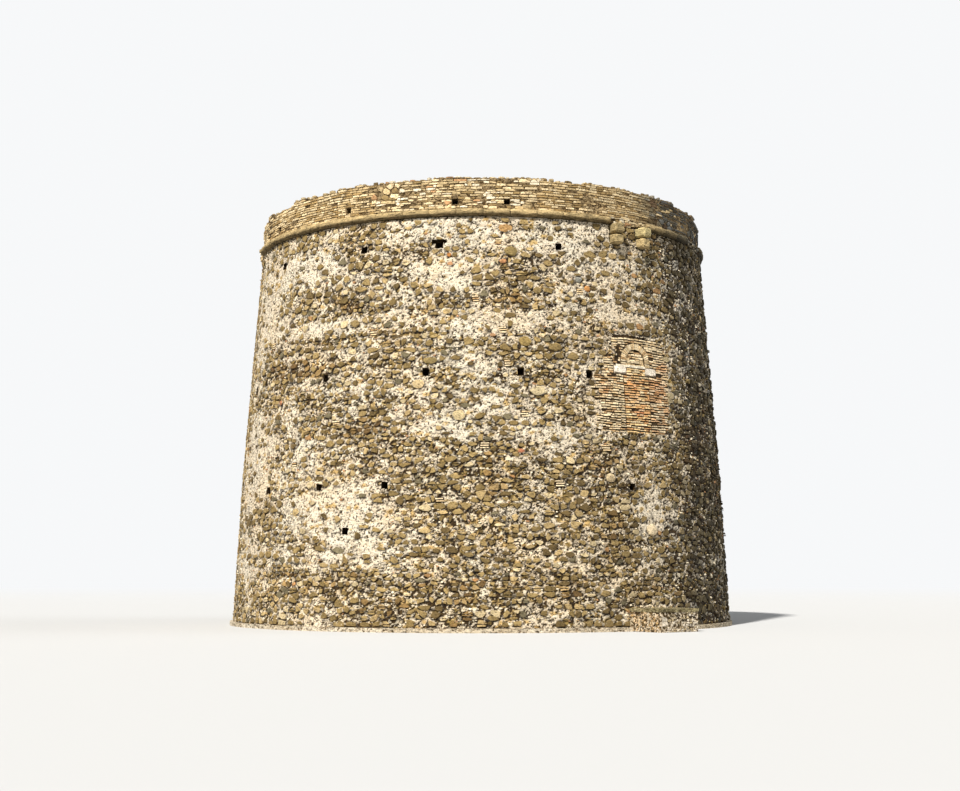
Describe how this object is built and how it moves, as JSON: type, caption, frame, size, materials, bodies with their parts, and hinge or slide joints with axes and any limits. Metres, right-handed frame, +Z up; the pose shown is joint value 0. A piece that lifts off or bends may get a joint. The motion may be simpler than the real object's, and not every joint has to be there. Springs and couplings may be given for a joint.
{
  "type": "coastal watchtower",
  "caption": "Tapered round artillery watchtower of rubble masonry with a walled-up upper doorway, a half-round string course, corbel remains and a worn parapet.",
  "frame": {"origin": "centre of the round base at ground level", "axes": "+Z up along the tower's axis; -Y faces the viewer, 37 degrees to the left of the walled-up doorway as seen from outside; +X to the viewer's right"},
  "size_m": [17.1998, 17.1998, 13.59],
  "materials": {
    "footing_mortar": "rough lime mortar",
    "foot_stones": "rough field stone in lime mortar",
    "rubble_wall": "rough field stone in lime mortar",
    "chamber_masonry": "lime-washed masonry",
    "floor_paving": "worn brick and lime paving",
    "pale_brick": "weathered thin brick",
    "orange_brick": "weathered thin brick",
    "impost_stone": "tooled limestone",
    "cordon_stone": "weathered half-round stone",
    "corbel_stone": "weathered calcarenite",
    "parapet_masonry": "rubble and thin brick in lime mortar",
    "spout_stone": "lichen-covered stone",
    "block_rubble": "rubble in lime mortar",
    "block_cap": "mossy mortar slab"
  },
  "bodies": {
    "root": {"footing_course": "footing_mortar", "foot_band": "foot_stones", "lower_drum": "rubble_wall", "wall_front": "rubble_wall", "wall_left": "rubble_wall", "wall_rear_left": "rubble_wall", "wall_rear": "rubble_wall", "wall_rear_right": "rubble_wall", "wall_right": "rubble_wall", "wall_left_of_door": "rubble_wall", "wall_right_of_door": "rubble_wall", "passage_vault": "chamber_masonry", "wall_over_door": "rubble_wall", "chamber_floor": "floor_paving", "passage_floor": "floor_paving", "dome_vault": "chamber_masonry", "vault_fill": "chamber_masonry", "brick_jamb_left": "pale_brick", "brick_jamb_right": "pale_brick", "impost_stones": "impost_stone", "relieving_arch": "pale_brick", "arch_tympanum": "pale_brick", "doorway_infill": "orange_brick", "brick_over_arch": "pale_brick", "terrace_bed": "chamber_masonry", "terrace_paving": "floor_paving", "cordon_front": "cordon_stone", "cordon_front_left": "cordon_stone", "cordon_left": "cordon_stone", "cordon_rear_left": "cordon_stone", "cordon_rear": "cordon_stone", "cordon_rear_right": "cordon_stone", "cordon_right": "cordon_stone", "cordon_backing": "rubble_wall", "corbels_lower": "corbel_stone", "corbels_upper": "corbel_stone", "parapet_front": "parapet_masonry", "parapet_left": "parapet_masonry", "parapet_rear_left": "parapet_masonry", "parapet_rear": "parapet_masonry", "parapet_rear_right": "parapet_masonry", "parapet_right": "parapet_masonry", "drain_spout": "spout_stone", "foot_block": "block_rubble", "foot_block_cap": "block_cap"}
  },
  "joints": []
}
